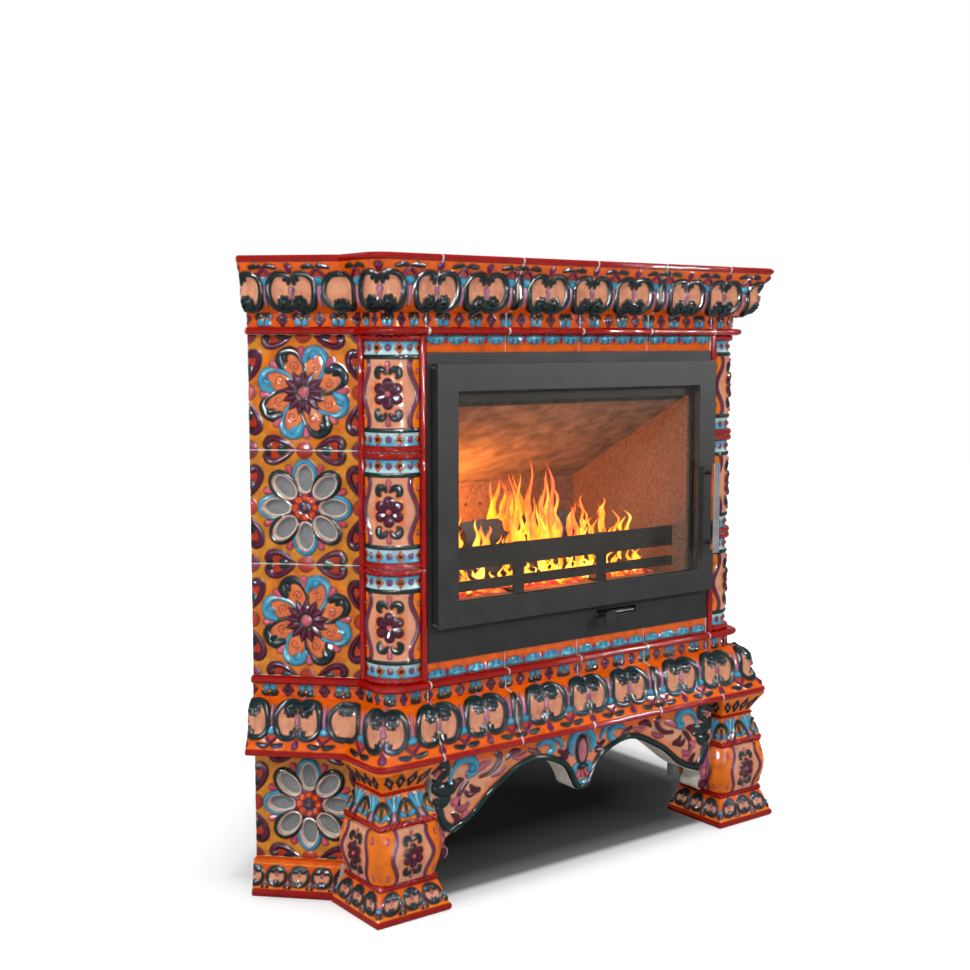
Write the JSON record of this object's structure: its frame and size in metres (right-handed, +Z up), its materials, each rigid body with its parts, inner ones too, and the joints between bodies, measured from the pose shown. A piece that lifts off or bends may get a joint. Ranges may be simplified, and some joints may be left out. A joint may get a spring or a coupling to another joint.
{
  "type": "tiled stove",
  "caption": "Corner tiled stove: legs, shelf, pilasters and cornice of glazed relief tiles around a steel fireplace insert with a side-hinged glass door and a sliding air control.",
  "frame": {"origin": "centre of the bounding box on the floor", "axes": "+X along the front to the viewer's right, -Y out of the front, +Z up"},
  "size_m": [1.3572, 0.8289, 1.28],
  "materials": {
    "moulding_glaze": "glossy multicolour glaze with relief ornament on an orange ground",
    "side_glaze": "glossy multicolour glaze with relief ornament on an ochre orange ground",
    "pilaster_glaze": "glossy multicolour glaze on a peach ground",
    "leg_glaze": "glossy multicolour glaze on an orange ground",
    "slab_concrete": "plain cast concrete",
    "plain_steel": "plain mill steel",
    "black_enamel": "matt charcoal stove paint",
    "casing_paint": "matt dark stove paint",
    "firebrick": "pale vermiculite board, warmed by the fire",
    "grate_iron": "rough dark casting",
    "firewood": "charred bark",
    "door_glass": "clear heat resistant glass",
    "seal_rope": "braided glass fibre rope",
    "chrome": "bright polished"
  },
  "bodies": {
    "root": {"air_box_floor": "plain_steel", "apron": "leg_glaze", "ash_pan": "plain_steel", "back_lining": "firebrick", "baffle": "firebrick", "base_slab": "slab_concrete", "base_vent_tile_left": "side_glaze", "base_vent_tile_right": "side_glaze", "cornice_bead": "moulding_glaze", "cornice_corner_left": "moulding_glaze", "cornice_corner_right": "moulding_glaze", "cornice_front": "moulding_glaze", "cornice_wing_left": "moulding_glaze", "cornice_wing_right": "moulding_glaze", "fire_grate": "grate_iron", "firewood": "firewood", "flue_collar": "casing_paint", "frieze_lower": "moulding_glaze", "frieze_upper": "moulding_glaze", "hearth_floor": "firebrick", "hinge_brackets": "plain_steel", "insert_casing": "casing_paint", "insert_feet": "plain_steel", "insert_plate": "black_enamel", "latch_stud": "plain_steel", "leg_body_left": "leg_glaze", "leg_body_right": "leg_glaze", "leg_capital_left": "leg_glaze", "leg_capital_right": "leg_glaze", "leg_plinth_left": "leg_glaze", "leg_plinth_right": "leg_glaze", "log_guard": "black_enamel", "lower_frame": "plain_steel", "pilaster_left": "pilaster_glaze", "pilaster_right": "pilaster_glaze", "shelf_corner_left": "moulding_glaze", "shelf_corner_right": "moulding_glaze", "shelf_front": "moulding_glaze", "shelf_wing_left": "moulding_glaze", "shelf_wing_right": "moulding_glaze", "side_lining_left": "firebrick", "side_lining_right": "firebrick", "side_tile_1_left": "side_glaze", "side_tile_1_right": "side_glaze", "side_tile_3_left": "side_glaze", "side_tile_3_right": "side_glaze", "side_vent_tile_2_left": "side_glaze", "side_vent_tile_2_right": "side_glaze", "top_slab": "slab_concrete", "upper_frame": "plain_steel", "wing_plinth_left": "leg_glaze", "wing_plinth_right": "leg_glaze"},
    "door": {"door_frame": "black_enamel", "door_glass": "door_glass", "glass_retainer": "plain_steel", "door_seal": "seal_rope", "door_handle": "chrome", "door_latch": "plain_steel"},
    "air_slide": {"air_slide": "black_enamel"}
  },
  "joints": [
    {"name": "door_hinge", "type": "hinge", "parent": "root", "child": "door", "pos_m": [-0.368, -0.36035, 0.808], "axis": [0, 0, -1], "range_deg": [0, 100]},
    {"name": "air_control", "type": "slide", "parent": "root", "child": "air_slide", "axis": [1, 0, 0], "range_m": [0, 0.081]}
  ]
}
